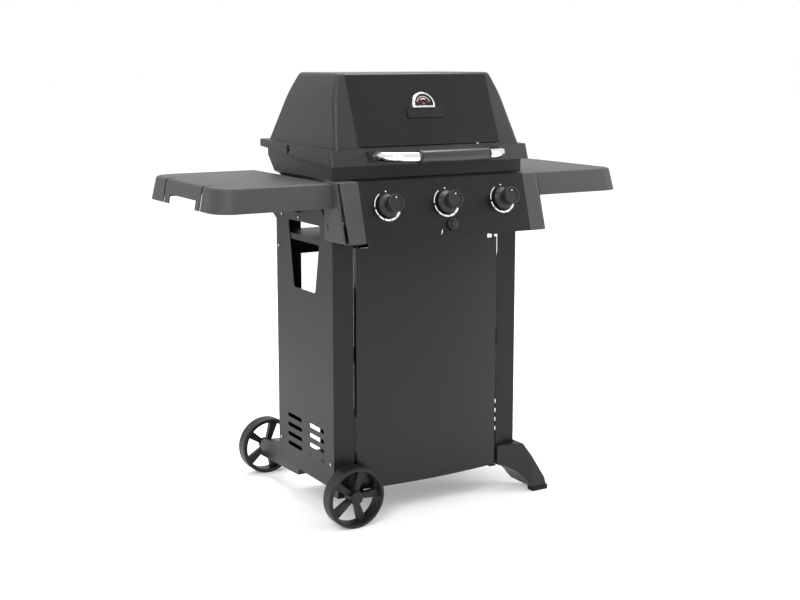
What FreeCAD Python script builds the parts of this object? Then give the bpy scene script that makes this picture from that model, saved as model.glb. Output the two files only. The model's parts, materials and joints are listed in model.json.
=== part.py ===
import FreeCAD, Part
import math
import os
import re
import Sketcher
from FreeCAD import Placement, Rotation, Vector

# A cart-mounted gas barbecue in millimetres.
# X is to the right of a person facing it, Y points to its back, Z is up.
# Pieces are drawn from the middle of the cart, on the floor, and move by frame_shift on export,
# which puts the origin on the floor under the middle of the whole barbecue.

SIZES = [
    # cart
    ("cart_width", 540, "across the side panels"),
    ("cart_depth", 310, "front flange to rear flange"),
    ("panel_gauge", 1.5, "cabinet sheet"),
    ("panel_bottom", 90, "lower edge of the side panels"),
    ("panel_top", 846, "upper edge of the side panels"),
    ("strip_width", 57, "front flange beside the door"),
    ("rear_flange", 70, "flange at the open back"),
    ("strip_top", 735, "upper end of the front flange"),
    ("slope_top_y", -12, "where the slanted front corner starts"),
    ("window_top", 740, "side window, upper edge"),
    ("window_bottom", 569, "side window, lower edge"),
    ("slot_low", 148, "lowest louvre"),
    ("slot_pitch", 25.3, "louvre spacing"),
    ("slot_height", 11, "louvre slot"),
    ("slot_length", 80, "louvre slot"),
    ("shelf_lip", 95, "upturned rear lip of the bottom shelf"),
    ("gap", 0.3, "between pieces that lie together"),
    ("frame_shift", 26, "middle of the whole barbecue behind the middle of the cart"),
    # door
    ("door_half", 207.5, "half the door width"),
    ("door_bottom", 81, "lower edge of the door"),
    ("door_top", 708, "upper edge of the door"),
    ("door_bow", 15, "rise of the bowed door"),
    ("door_proud", 4, "door edge in front of the flanges"),
    ("door_return", 14, "folded edge of the door"),
    ("door_notch", 32, "notched upper corners"),
    ("door_pin_x", 201, "door pins"),
    ("door_pin_y", -151.5, "door pins"),
    ("door_pin_radius", 3, "door pins"),
    ("door_lift", 6.5, "how far the door rises off its lower pins"),
    ("pin_clearance", 0.06, "running fit of pins and axles"),
    # firebox
    ("box_half", 275, "half width of the casting at its rim"),
    ("box_front", -166, "front wall"),
    ("box_back", 190, "rear wall"),
    ("box_rim", 914, "upper edge"),
    ("box_knee", 858, "where the walls turn in"),
    ("box_neck_half", 252, "half width below the knee"),
    ("box_floor", 742, "underside of the hopper"),
    ("box_wall", 5, "casting wall"),
    # lid
    ("lid_half", 287, "half width of the rim"),
    ("rim_front", -175, "rim, front upper edge"),
    ("rim_flare", 13, "how far the front of the rim flares"),
    ("rim_back", 217, "rim, rear edge"),
    ("rim_front_top", 928, "ledge height at the front"),
    ("rim_back_top", 938, "ledge height at the back"),
    ("rim_front_bottom", 890, "lower edge at the front"),
    ("rim_back_bottom", 920, "lower edge at the back"),
    ("lid_wall", 4, "casting wall"),
    ("dome_front", -169, "foot of the front face"),
    ("dome_back", 205, "foot of the rear face"),
    ("dome_crown_front", -102, "upper end of the front face"),
    ("dome_crown_back", 120, "upper end of the rear face"),
    ("dome_shoulder", 1099, "height of both upper ends"),
    ("dome_top", 1110, "highest line"),
    ("dome_half", 268, "half width at the ledge"),
    ("dome_waist_half", 244, "half width where the ends turn in more"),
    ("dome_waist", 1057, "height of that turn"),
    ("dome_top_half", 222, "half width at the top"),
    ("dome_turn", 300, "soft turn in the ends"),
    ("dome_round", 14, "rounding of the vault's edges"),
    ("rim_round", 8, "rounding of the rim's corners"),
    ("insert_half", 205, "half width of the steel skin"),
    ("insert_gauge", 1.2, "steel skin"),
    ("spit_y", 46, "spit notch"),
    ("spit_width", 14, "spit notch"),
    ("hinge_y", 203, "lid hinge axis"),
    ("hinge_z", 926, "lid hinge axis"),
    ("hinge_x", 232, "middle of each hinge"),
    ("hinge_pin_radius", 4, "lid hinge pin"),
    # handle
    ("handle_y", -272, "axis of the grip"),
    ("handle_z", 914, "axis of the grip"),
    ("grip_half", 98, "half length of the grip"),
    ("grip_radius", 15.5, "grip"),
    ("horn_x", 172, "where the curved ends meet the brackets"),
    ("horn_radius", 12, "curved ends"),
    # control panel
    ("fascia_half", 237, "half width of the control panel"),
    ("fascia_top", 856, "upper edge"),
    ("fascia_height", 140, "rise of the sloped face"),
    ("fascia_front", -266, "lower front edge"),
    ("fascia_lean", 42, "how far the upper edge lies back"),
    ("fascia_gauge", 1.2, "sheet"),
    ("cap_half", 291, "outer face of the end caps"),
    ("knob_pitch", 166, "between knobs"),
    ("knob_up", 58, "knob axis below the upper edge, vertically"),
    ("knob_radius", 21.5, "knob head"),
    ("knob_skirt", 28, "knob skirt"),
    ("knob_length", 41, "knob"),
    ("knob_gap", 4, "knob to panel, the room for pushing it in"),
    ("stem_radius", 4, "valve stem"),
    ("button_radius", 9, "igniter button"),
    ("button_bezel", 14.5, "igniter collar"),
    ("button_x", 6, "igniter"),
    ("button_up", 111, "igniter axis below the upper edge, vertically"),
    # side shelves
    ("shelf_top", 854, "table height"),
    ("shelf_skirt", 58, "depth of the edge"),
    ("shelf_inner", 291.5, "inner end"),
    ("shelf_outer", 573, "outer end at the top"),
    ("shelf_front", -194, "front edge"),
    ("shelf_back", 250, "rear edge"),
    ("shelf_wall", 3.2, "resin wall"),
    ("shelf_flare", 10, "outward draft of the skirt"),
    # running gear
    ("wheel_radius", 77, "wheel"),
    ("wheel_width", 38, "wheel"),
    ("axle_x", -232, "axle"),
    ("axle_radius", 5.5, "axle"),
    ("front_wheel_y", -187, "middle of the front wheel"),
    ("rear_wheel_y", 322, "middle of the rear wheel"),
    ("hub_radius", 17, "hub"),
    ("foot_toe", 354, "outer end of the feet"),
    ("front_toe", -202, "front edge of the front toe"),
    ("rear_toe", 341, "rear edge of the rear toe"),
    ("toe_width", 51, "toe"),
    ("toe_depth", 27, "toe"),
    ("pad_height", 12, "foot pad"),
    # burners and grates
    ("burner_radius", 9, "burner tube"),
    ("burner_z", 832, "burner tube axis"),
    ("grate_z", 886, "underside of the cooking grates"),
    ("grate_height", 12, "cooking grates"),
    ("bar_pitch", 17.5, "between grate bars"),
    ("bar_width", 7, "grate bar"),
    ("tray_z", 706, "underside of the grease tray"),
    ("tray_height", 22, "grease tray"),
    ("screw_radius", 3.2, "screw heads"),
]
VALUES = {name: value for name, value, note in SIZES}

doc = FreeCAD.newDocument("barbecue")
sheet = doc.addObject("Spreadsheet::Sheet", "sizes")
for row, (name, value, note) in enumerate(SIZES, start=1):
    sheet.set(f"A{row}", name)
    sheet.set(f"B{row}", str(value))
    sheet.set(f"C{row}", note)
    sheet.setAlias(f"B{row}", name)
doc.recompute()
nodes = []
serial = iter(range(1, 10000))


# ---------------------------------------------------------------- helpers
def size(alias):
    """The number that a cell of the sheet holds."""
    return float(getattr(sheet, alias))


def sheet_names(formula):
    """The formula with every sheet name written out in full."""
    return re.sub(r"[a-z]\w+", lambda m: "sizes." + m.group() if m.group() in VALUES else m.group(), str(formula))


def worth(formula):
    """What a formula of sheet names comes to, for choices that can't be bound."""
    return float(sheet.evalExpression(sheet_names(formula)))


def bind(thing, prop, formula):
    """Ties a property to a formula of sheet names."""
    thing.setExpression(prop, sheet_names(formula))


def fresh(kind, name=None):
    return doc.addObject(kind, name or f"step{next(serial)}")


def node(label, thing):
    """Registers a finished sub-part under its own name."""
    thing.Label = label
    nodes.append(thing)
    return thing


def block(x, y, z):
    """A box between low and high formulas on each axis."""
    box = fresh("Part::Box")
    for side, axis, (low, high) in zip(("Length", "Width", "Height"), "xyz", (x, y, z)):
        bind(box, side, f"({high})-({low})")
        bind(box, f"Placement.Base.{axis}", low)
    return box


def rod(axis, start, radius, length, second=None):
    """A cylinder, or a cone when a second radius is given, from start along +axis."""
    body = fresh("Part::Cone" if second else "Part::Cylinder")
    turns = {"X": Rotation(Vector(0, 1, 0), 90), "Y": Rotation(Vector(1, 0, 0), -90), "Z": Rotation()}
    body.Placement = Placement(Vector(), turns[axis])
    if second:
        bind(body, "Radius1", radius)
        bind(body, "Radius2", second)
    else:
        bind(body, "Radius", radius)
    bind(body, "Height", length)
    for letter, formula in zip("xyz", start):
        bind(body, f"Placement.Base.{letter}", formula)
    return body


def origin_plane(body, role):
    return [item for item in body.Origin.OriginFeatures if item.Role == role + "_Plane"][0]


def outline(body, plane, level, points, circles=()):
    """A closed sketch whose corners sit at pairs of formulas; circles are (a, b, radius)."""
    sketch = body.newObject("Sketcher::SketchObject", f"sketch{next(serial)}")
    sketch.AttachmentSupport = [(origin_plane(body, plane), "")]
    sketch.MapMode = "FlatFace"
    bind(sketch, "AttachmentOffset.Base.z", f"-({level})" if plane == "XZ" else level)
    count = len(points)
    ring = [Vector(50 * math.cos(2 * math.pi * i / max(count, 3)), 50 * math.sin(2 * math.pi * i / max(count, 3)), 0)
            for i in range(count)]
    for i in range(count):
        sketch.addGeometry(Part.LineSegment(ring[i], ring[(i + 1) % count]), False)
    for i in range(count):
        sketch.addConstraint(Sketcher.Constraint("Coincident", i, 2, (i + 1) % count, 1))
    for i, pair in enumerate(points):
        for kind, formula, start in zip(("DistanceX", "DistanceY"), pair, ring[i]):
            number = sketch.addConstraint(Sketcher.Constraint(kind, -1, 1, i, 1, start))
            bind(sketch, f"Constraints[{number}]", formula)
    for i, (across, up, radius) in enumerate(circles, start=count):
        sketch.addGeometry(Part.Circle(Vector(5 * i, 0, 0), Vector(0, 0, 1), 3), False)
        for kind, formula in (("DistanceX", across), ("DistanceY", up)):
            number = sketch.addConstraint(Sketcher.Constraint(kind, -1, 1, i, 3, 5.0))
            bind(sketch, f"Constraints[{number}]", formula)
        number = sketch.addConstraint(Sketcher.Constraint("Radius", i, 3.0))
        bind(sketch, f"Constraints[{number}]", radius)
    return sketch


def slab(plane, low, high, points, circles=()):
    """A body: the outline padded between two levels of the third axis."""
    body = fresh("PartDesign::Body", f"body{next(serial)}")
    sketch = outline(body, plane, high if plane == "XZ" else low, points, circles)
    pad = body.newObject("PartDesign::Pad", f"pad{next(serial)}")
    pad.Profile = sketch
    bind(pad, "Length", f"({high})-({low})")
    sketch.Visibility = False
    return body


def turned(profile):
    """A body of revolution about its own Z axis from (radius, height) corners."""
    body = fresh("PartDesign::Body", f"body{next(serial)}")
    sketch = outline(body, "XZ", "0", profile)
    spin = body.newObject("PartDesign::Revolution", f"spin{next(serial)}")
    spin.Profile = sketch
    spin.ReferenceAxis = (sketch, ["V_Axis"])
    spin.Angle = 360
    return body


def loft(sections):
    """A body through outlines on XY levels; each section is (level, corner formulas)."""
    body = fresh("PartDesign::Body", f"body{next(serial)}")
    sketches = [outline(body, "XY", level, points) for level, points in sections]
    skin = body.newObject("PartDesign::AdditiveLoft", f"loft{next(serial)}")
    skin.Profile = sketches[0]
    skin.Sections = sketches[1:]
    skin.Ruled = True
    return body


def cut(base, *tools):
    """Takes the tools away and makes sure that something was removed."""
    result = fresh("Part::Cut")
    result.Base = base
    result.Tool = tools[0] if len(tools) == 1 else join(*tools)
    doc.recompute()
    if not result.Shape.Volume < base.Shape.Volume - 1e-3:
        raise RuntimeError(f"{result.Name} removed nothing")
    return result


def join(*pieces):
    fused = fresh("Part::MultiFuse")
    fused.Shapes = list(pieces)
    fused.Refine = True
    return fused


def common(*pieces):
    shared = fresh("Part::MultiCommon")
    shared.Shapes = list(pieces)
    return shared


def several(*pieces):
    """Separate solids that share one node."""
    bundle = fresh("Part::Compound")
    bundle.Links = list(pieces)
    return bundle


def mirrored(piece, normal=(1, 0, 0)):
    twin = fresh("Part::Mirroring")
    twin.Source = piece
    twin.Normal = Vector(*normal)
    return twin


def rounded(piece, radius, wanted):
    """Fillets the edges that the test picks; the test gets an edge's middle and direction."""
    doc.recompute()
    picked = []
    for number, edge in enumerate(piece.Shape.Edges, start=1):
        middle = edge.valueAt((edge.FirstParameter + edge.LastParameter) / 2)
        ends = [v.Point for v in edge.Vertexes]
        way = (ends[-1] - ends[0]) if len(ends) > 1 else Vector()
        if way.Length > 0:
            way.normalize()
        if wanted(middle, way):
            picked.append((number, worth(radius), worth(radius)))
    fillet = fresh("Part::Fillet")
    fillet.Base = piece
    fillet.Edges = picked
    doc.recompute()
    if fillet.Shape.isNull() or not fillet.Shape.isValid():
        raise RuntimeError(f"{fillet.Name}: fillet of {len(picked)} edges failed")
    return fillet


def on_fascia(piece, across, below, lift):
    """Stands a piece, built along its own Z, square on the sloped face of the control panel."""
    piece.Placement = Placement(Vector(), Rotation(Vector(1, 0, 0), 73.0))
    bind(piece, "Placement.Rotation.Angle", "90 deg - atan(fascia_lean / fascia_height)")
    bind(piece, "Placement.Base.x", across)
    sine = "sin(atan(fascia_lean / fascia_height))"
    cosine = "cos(atan(fascia_lean / fascia_height))"
    face_y = f"(fascia_front + fascia_lean - ({below}) * fascia_lean / fascia_height)"
    bind(piece, "Placement.Base.y", f"{face_y} - ({lift}) * {cosine}")
    bind(piece, "Placement.Base.z", f"fascia_top - ({below}) + ({lift}) * {sine}")
    return piece


def vertical(middle, way):
    return abs(way.z) > 0.999


# ---------------------------------------------------------------- cabinet
FRONT = "-cart_depth/2"
BACK = "cart_depth/2"


def louvres(side):
    """Two columns of slots through the lower part of a side panel."""
    holes = []
    for middle_y in ("-63", "60"):
        for row in range(4):
            level = f"slot_low + {row} * slot_pitch"
            holes.append(block((f"{side} - 3", f"{side} + 5"),
                               (f"{middle_y} - slot_length/2 + slot_height/2",
                                f"{middle_y} + slot_length/2 - slot_height/2"),
                               (f"{level} - slot_height/2", f"{level} + slot_height/2")))
            for end in ("-1", "1"):
                holes.append(rod("X", (f"{side} - 3", f"{middle_y} + {end} * (slot_length - slot_height)/2", level),
                                 "slot_height/2", "8"))
    return holes


def side_panel():
    """Left panel: one folded sheet with a front strip, a rear flange, a window and louvres."""
    side = "-cart_width/2"
    wall = slab("YZ", side, f"{side} + panel_gauge",
                [(FRONT, "panel_bottom"), (BACK, "panel_bottom"), (BACK, "panel_top"),
                 ("slope_top_y", "panel_top"), (FRONT, "strip_top")])
    strip = block((side, f"{side} + strip_width"), (FRONT, f"{FRONT} + panel_gauge"), ("panel_bottom", "strip_top"))
    flange = block((side, f"{side} + rear_flange"), (f"{BACK} - panel_gauge", BACK), ("panel_bottom", "panel_top"))
    window = slab("YZ", f"{side} - 3", f"{side} + 5",
                  [("-62", "window_bottom"), ("55", "window_bottom"), ("84", "window_top"), ("-94", "window_top")])
    window = rounded(window, 9, lambda middle, way: abs(way.x) > 0.9)
    return cut(join(wall, strip, flange), window, *louvres(side))


left_panel = node("side_panel_left", side_panel())
node("side_panel_right", mirrored(left_panel))
INNER = "(cart_width/2 - panel_gauge - gap)"


def bottom_shelf():
    """A pan that ties the side panels together, with a tall lip at the back."""
    x = (f"-{INNER}", INNER)
    y = (f"{FRONT} + door_return + 2", f"{BACK} - panel_gauge - gap")
    plate = block(x, y, ("panel_bottom + 4", "panel_bottom + 4 + panel_gauge"))
    front_lip = block(x, (y[0], f"{y[0]} + panel_gauge"), ("panel_bottom + 4", "panel_bottom + 22"))
    rear_lip = block(("-150", "150"), (f"{y[1]} - panel_gauge", y[1]),
                     ("panel_bottom + 4", "panel_bottom + 4 + shelf_lip"))
    side_lip = block((x[0], f"{x[0]} + panel_gauge"), y, ("panel_bottom + 4", "panel_bottom + 22"))
    return join(plate, front_lip, rear_lip, side_lip, mirrored(side_lip))


node("bottom_shelf", bottom_shelf())


def rear_rail():
    """A channel across the open back, under the grease tray."""
    x = (f"-{INNER}", INNER)
    y = f"{BACK} - panel_gauge - gap"
    web = block(x, (f"{y} - panel_gauge", y), ("640", "690"))
    top = block(x, (f"{y} - 20", y), ("690 - panel_gauge", "690"))
    low = block(x, (f"{y} - 20", y), ("640", "640 + panel_gauge"))
    return join(web, top, low)


def front_rail():
    """A channel behind the control panel that carries its lower edge."""
    x = (f"-{INNER}", INNER)
    y = f"{FRONT} + panel_gauge + gap"
    web = block(x, (y, f"{y} + panel_gauge"), ("door_top + door_lift + 4", "745"))
    top = block(x, (y, f"{y} + 18"), ("745 - panel_gauge", "745"))
    return join(web, top)


node("rear_rail", rear_rail())
node("front_rail", front_rail())


# ---------------------------------------------------------------- door
def bowed(radius_loss):
    """A tall cylinder whose front is the bow of the door, made smaller by a wall."""
    radius = "((door_half ^ 2 + door_bow ^ 2) / (2 * door_bow))"
    return rod("Z", ("0", f"{FRONT} - door_proud - door_bow + {radius}", "door_bottom - 10"),
               f"{radius} - ({radius_loss})", "door_top - door_bottom + 40")


def door_panel():
    """Bowed skin with folded edges and notched upper corners."""
    y = (f"{FRONT} - door_proud - door_bow - 1", f"{FRONT} - door_proud + door_return")
    x = ("-door_half", "door_half")
    z = ("door_bottom", "door_top")
    solid = common(block(x, y, z), bowed("0"))
    inside = common(block(("-door_half + panel_gauge", "door_half - panel_gauge"),
                          (y[0], f"{y[1]} + 5"), ("door_bottom + panel_gauge", "door_top - panel_gauge")),
                    bowed("panel_gauge"))
    notch = block(("-door_half - 1", "-door_half + door_notch"), (f"{y[0]} - 1", f"{y[1]} + 6"),
                  ("door_top - 19", "door_top + 1"))
    web = block(("door_pin_x - 12", "door_half - panel_gauge + 0.5"), ("door_pin_y - 5", "door_pin_y + 5"),
                ("door_top - 26", "door_top - 22"))
    guide = rod("Z", ("door_pin_x", "door_pin_y", "door_top - 40"), "door_pin_radius + pin_clearance", "30")
    seat = rod("Z", ("door_pin_x", "door_pin_y", "door_bottom - 5"), "door_pin_radius", "10")
    shell = cut(solid, inside, notch, mirrored(notch), seat, mirrored(seat))
    web = cut(web, guide)
    return join(shell, web, mirrored(web))


def door_liner():
    """Two upright stiffeners behind the skin, joined by a cross strip."""
    y = (f"{FRONT} - door_proud - door_bow", f"{FRONT} - door_proud + 9")
    z = ("door_bottom + panel_gauge + 1", "door_top - 24")
    ribs = [block((f"{middle} - 16", f"{middle} + 16"), y, z) for middle in ("-110", "110")]
    strip = block(("-110", "110"), (f"{FRONT} - door_proud + 6", y[1]), ("door_top - 90", "door_top - 60"))
    return common(join(*ribs, strip), bowed("panel_gauge + gap"))


def door_pin():
    """Pin that stands down from the door into its lower bracket."""
    return rod("Z", ("door_pin_x", "door_pin_y", "door_bottom - 5.5"), "door_pin_radius", "8.5")


def lower_bracket():
    """Seat under the door's corner, hung from the bottom shelf, with the bore for the door's pin."""
    z = ("door_bottom - gap - 4", "door_bottom - gap")
    plate = block(("door_pin_x - 10", "door_pin_x + 8.5"), ("door_pin_y - 11", f"{FRONT} + 35"), z)
    riser = block(("door_pin_x - 10", "door_pin_x + 8.5"), (f"{FRONT} + 19", f"{FRONT} + 35"),
                  (z[0], "panel_bottom + 4 - gap"))
    bore = rod("Z", ("door_pin_x", "door_pin_y", f"{z[0]} - 5"), "door_pin_radius + pin_clearance", "12")
    return cut(join(plate, riser), bore)


def upper_bracket():
    """Tab on the front strip in the door's notch; its pin guides the web of the door."""
    z = ("door_top - 11", "door_top - 7")
    tab = block(("door_pin_x - 10", "door_pin_x + 42"), (f"{FRONT} - 10", f"{FRONT} - gap"), z)
    tongue = block(("door_pin_x - 10", "cart_width/2 - strip_width - 2"), (f"{FRONT} - 4", "door_pin_y + 5"), z)
    pin = rod("Z", ("door_pin_x", "door_pin_y", "door_top - 27"), "door_pin_radius", "18")
    return join(tab, tongue, pin)


def door_stop():
    """Magnet catch behind the front strip that the door's folded edge rests against."""
    x_strip = "cart_width/2 - strip_width"
    back = f"{FRONT} + door_return + 9"
    magnet = block((f"{x_strip} - 22", f"{x_strip} + 22"), (f"{FRONT} - door_proud + door_return + gap", back), ("400", "440"))
    base = block((f"{x_strip} + gap", f"{x_strip} + 22"), (f"{FRONT} + panel_gauge + gap", back), ("400", "440"))
    return join(magnet, base)


pin = door_pin()
seats = (lower_bracket(), upper_bracket())
stop = door_stop()
node("door_panel", door_panel())
node("door_liner", door_liner())
node("door_pins", several(pin, mirrored(pin)))
node("door_brackets", several(*seats, *[mirrored(item) for item in seats]))
node("door_stops", several(stop, mirrored(stop)))


# ---------------------------------------------------------------- firebox
def box_shell(inset):
    """The outside of the firebox, or its hollow when inset by the wall."""
    rim_half = f"box_half - {inset}"
    neck_half = f"box_neck_half - {inset}"
    front = f"box_front + {inset}"
    back = f"box_back - {inset}"
    top = "box_rim" if inset == "0" else "box_rim + 20"
    profile = slab("YZ", f"-({rim_half})", rim_half,
                   [(front, "box_knee"), ("-110", f"box_floor + {inset}"), ("120", f"box_floor + {inset}"),
                    (f"150 - {inset}", "box_knee - 3"), (back, "box_knee + 40"), (back, top), (front, top)])
    ends = slab("XZ", "box_front - 20", "box_back + 20",
                [(f"-({rim_half})", "box_knee"), (f"-({neck_half})", "box_knee - 14"),
                 ("-200", f"box_floor + {inset}"), ("200", f"box_floor + {inset}"),
                 (neck_half, "box_knee - 14"), (rim_half, "box_knee"), (rim_half, "box_rim + 25"),
                 (f"-({rim_half})", "box_rim + 25")])
    return common(profile, ends)


def firebox():
    """Cast lower box: open above, hopper floor with a grease outlet, ledge for the grates."""
    ledge_z = ("grate_z - 8", "grate_z - gap")
    ledge = block(("-box_half + 3", "-box_half + 17"), ("box_front + 4", "box_back - 26"), ledge_z)
    shell = cut(box_shell("0"), box_shell("box_wall"))
    outlet = block(("-40", "40"), ("-20", "30"), ("box_floor - 5", "box_floor + 20"))
    spit = block(("-box_half - 5", "-box_half + 20"), ("spit_y - spit_width/2", "spit_y + spit_width/2"),
                 ("box_rim - 12", "box_rim + 10"))
    bores = []
    for k in (-1, 0, 1):
        bores.append(rod("Y", (f"{k} * knob_pitch", "box_front - 60", "burner_z"), "burner_radius + gap", "100"))
        bores.append(rod("Y", (f"{k} * knob_pitch + 18", "box_front - 20", "burner_z + 4"), "2 + gap", "50"))
    feet = block(("-cart_width/2 + panel_gauge + gap", "-box_neck_half + 12"), ("-60", "120"),
                 ("box_knee - 30", "box_knee - 20"))
    burner_rail = block(("-228", "228"), ("102", "120"), ("burner_z - 38", "burner_z - 29 - gap"))
    front_rest = block(("-244", "244"), ("-153", "-134"), ("burner_z + 6", "burner_z + 14 - gap"))
    rear_rest = block(("-244", "244"), ("128", "147"), ("burner_z + 6", "burner_z + 14 - gap"))
    whole = join(shell, ledge, mirrored(ledge), feet, mirrored(feet), burner_rail, front_rest, rear_rest)
    return cut(whole, outlet, spit, mirrored(spit), *bores)


node("firebox", firebox())


# ---------------------------------------------------------------- lid
def dome(inset):
    """The lid's vault: side profile crossed with its tapering front view, edges rounded."""
    inset = f"({inset})"
    front_crown = "dome_crown_front + (dome_top - dome_shoulder) * 0.4"
    back_crown = "dome_crown_back - (dome_top - dome_shoulder) * 0.53"
    top = f"dome_top - {inset}"
    foot = "rim_front_top - 12"
    profile = slab("YZ", "-lid_half", "lid_half",
                   [(f"dome_front + {inset}", foot), (f"dome_front + {inset}", "rim_front_top + 4"),
                    (f"{front_crown} + {inset} * 0.63", top), (f"{back_crown} - {inset} * 0.52", top),
                    (f"dome_back - {inset}", "rim_back_top"), (f"dome_back - {inset}", foot)])
    right = [(f"dome_half - {inset}", "rim_front_top - 20"), (f"dome_half - {inset}", "rim_front_top + 4"),
             (f"dome_waist_half - {inset}", "dome_waist"), (f"dome_top_half - {inset}", top)]
    ends = slab("XZ", "dome_front - 20", "dome_back + 20", right + [(f"-({x})", z) for x, z in reversed(right)])
    waist = size("dome_waist")
    ends = rounded(ends, "dome_turn", lambda middle, way: abs(middle.z - waist) < 5)
    crown = size("dome_shoulder")
    return rounded(common(profile, ends), f"dome_round - {inset}",
                   lambda middle, way: middle.z > size("rim_back_top") + 12 and (abs(way.y) < 0.99 or middle.z > crown))


def rim(inset, drop):
    """The flared rim below the vault; inset and lowered it is the hollow inside."""
    bottom = "0" if inset == "0" else "5"
    band = slab("YZ", f"-lid_half + {inset}", f"lid_half - {inset}",
                [(f"rim_front + {inset}", f"rim_front_top - {drop}"),
                 (f"rim_front - rim_flare + {inset}", f"rim_front_bottom - {bottom}"),
                 (f"rim_back - {inset}", f"rim_back_bottom - {bottom}"),
                 (f"rim_back - {inset}", f"rim_back_top - {drop}")])
    return rounded(band, f"rim_round - {inset}", lambda middle, way: abs(way.z) > 0.9)


def lid_frame():
    """One casting: both ends of the vault and the rim that runs right round."""
    outer = join(dome("0"), rim("0", "0"))
    hollow = join(dome("lid_wall"), rim("lid_wall", "lid_wall"))
    rebate = block(("-insert_half - gap", "insert_half + gap"), ("dome_front - 30", "dome_back + 30"),
                   ("rim_front_top + 4", "dome_top + 30"))
    step = slab("YZ", "-insert_half - gap", "insert_half + gap",
                [("dome_front - 1", "rim_front_top - 1"), ("dome_front - 1", "rim_front_top + 6"),
                 ("dome_front + 12", "rim_front_top + 6"), ("dome_front + 12", "rim_front_top - 1")])
    spit = block(("-lid_half - 5", "-lid_half + 24"), ("spit_y - spit_width/2", "spit_y + spit_width/2"),
                 ("rim_front_bottom - 10", "rim_back_top - 8"))
    slot = block(("hinge_x - 15", "hinge_x + 15"), ("hinge_y - 14", "rim_back + 5"), ("rim_front_bottom", "hinge_z + 9"))
    shell = cut(outer, hollow, rebate, spit, mirrored(spit), slot, mirrored(slot))
    seat = cut(dome("insert_gauge + 3 * gap"), dome("lid_wall"))
    edge = block(("insert_half - 9", "insert_half + 1"), ("dome_front - 20", "dome_back + 20"),
                 ("rim_front_top - 2", "dome_top + 5"))
    lip = common(seat, join(edge, mirrored(edge)))
    ear = cut(join(block(("hinge_x - 13", "hinge_x - 7"), ("dome_back - 12", "hinge_y + 8"), ("hinge_z - 7", "hinge_z + 11")),
                   block(("hinge_x + 7", "hinge_x + 13"), ("dome_back - 12", "hinge_y + 8"), ("hinge_z - 7", "hinge_z + 11"))),
              rod("X", ("hinge_x - 20", "hinge_y", "hinge_z"), "hinge_pin_radius", "40"))
    return join(shell, lip, ear, mirrored(ear))


def lid_insert():
    """Steel skin over the middle of the lid: front, top and back in one folded sheet."""
    skin = cut(dome("0"), dome("insert_gauge"))
    span = block(("-insert_half", "insert_half"), ("-400", "400"), ("rim_front_top + 6 + gap", "dome_top + 5"))
    rear_foot = block(("-insert_half - 5", "insert_half + 5"), ("100", "400"),
                      ("rim_front_top", "rim_back_top + gap"))
    return cut(common(skin, span), rear_foot)


node("lid_frame", lid_frame())
node("lid_insert", lid_insert())


def lid_hinge_bracket(hand):
    """Bracket on the firebox: a plate with one ear that sits between the lid's two ears."""
    middle = f"{hand} * hinge_x"
    plate = block((f"{middle} - 5", f"{middle} + 5"), ("box_back + gap", "box_back + 5"), ("box_rim - 40", "hinge_z + 4"))
    ear = block((f"{middle} - 5", f"{middle} + 5"), ("box_back + gap", "hinge_y + 5"), ("hinge_z - 7", "hinge_z + 5"))
    bore = rod("X", (f"{middle} - 10", "hinge_y", "hinge_z"), "hinge_pin_radius + pin_clearance", "20")
    return cut(join(plate, ear), bore)


node("lid_hinge_brackets", several(lid_hinge_bracket("1"), lid_hinge_bracket("-1")))
node("lid_hinge_pins", several(*[rod("X", (f"{hand} * hinge_x - 15", "hinge_y", "hinge_z"), "hinge_pin_radius", "30")
                                 for hand in ("1", "-1")]))


# ---------------------------------------------------------------- handle
BAND = "rim_front - rim_flare * (rim_front_top - handle_z) / (rim_front_top - rim_front_bottom)"


def handle_grip():
    """Straight grip tube between the curved ends."""
    return rounded(rod("X", ("-grip_half", "handle_y", "handle_z"), "grip_radius", "2 * grip_half"), 2.5,
                   lambda middle, way: True)


def handle_horn():
    """Curved right end: a quarter ring from the grip, then a taper into its bracket."""
    radius = "(horn_x - grip_half - gap)"
    bend = fresh("Part::Torus")
    bend.Placement = Placement(Vector(), Rotation(Vector(0, 0, 1), -90))
    bend.Angle3 = 90
    bind(bend, "Radius1", radius)
    bind(bend, "Radius2", "horn_radius")
    bind(bend, "Placement.Base.x", "grip_half + gap")
    bind(bend, "Placement.Base.y", f"handle_y + {radius}")
    bind(bend, "Placement.Base.z", "handle_z")
    taper = rod("Y", ("horn_x", f"handle_y + {radius}", "handle_z"), "horn_radius",
                f"rim_front - 12 - handle_y - {radius}", "horn_radius - 2")
    return join(bend, taper)


def handle_bracket():
    """Block on the front of the rim that takes the end of one horn."""
    return slab("YZ", "horn_x - 14", "horn_x + 14",
                [("rim_front - 12 + gap", "handle_z - 13"), (f"{BAND} - 4.8 - gap", "handle_z - 13"),
                 (f"{BAND} + 3 - gap", "handle_z + 9"), ("rim_front - 12 + gap", "handle_z + 13")])


horn = handle_horn()
bracket = handle_bracket()
node("handle_grip", handle_grip())
node("handle_ends", several(horn, mirrored(horn)))
node("handle_brackets", several(bracket, mirrored(bracket)))


# ---------------------------------------------------------------- thermometer
def on_lid(piece, up, lift):
    """Stands a piece square on the front face of the lid, up from its foot."""
    rise = "(dome_shoulder - rim_front_top - 4)"
    run = "(dome_crown_front - dome_front)"
    lean = f"atan({run} / {rise})"
    piece.Placement = Placement(Vector(), Rotation(Vector(1, 0, 0), 68.0))
    bind(piece, "Placement.Rotation.Angle", f"90 deg - {lean}")
    bind(piece, "Placement.Base.y", f"dome_front + ({up}) * {run} / {rise} - ({lift}) * cos({lean})")
    bind(piece, "Placement.Base.z", f"rim_front_top + 4 + ({up}) + ({lift}) * sin({lean})")
    return piece


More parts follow.
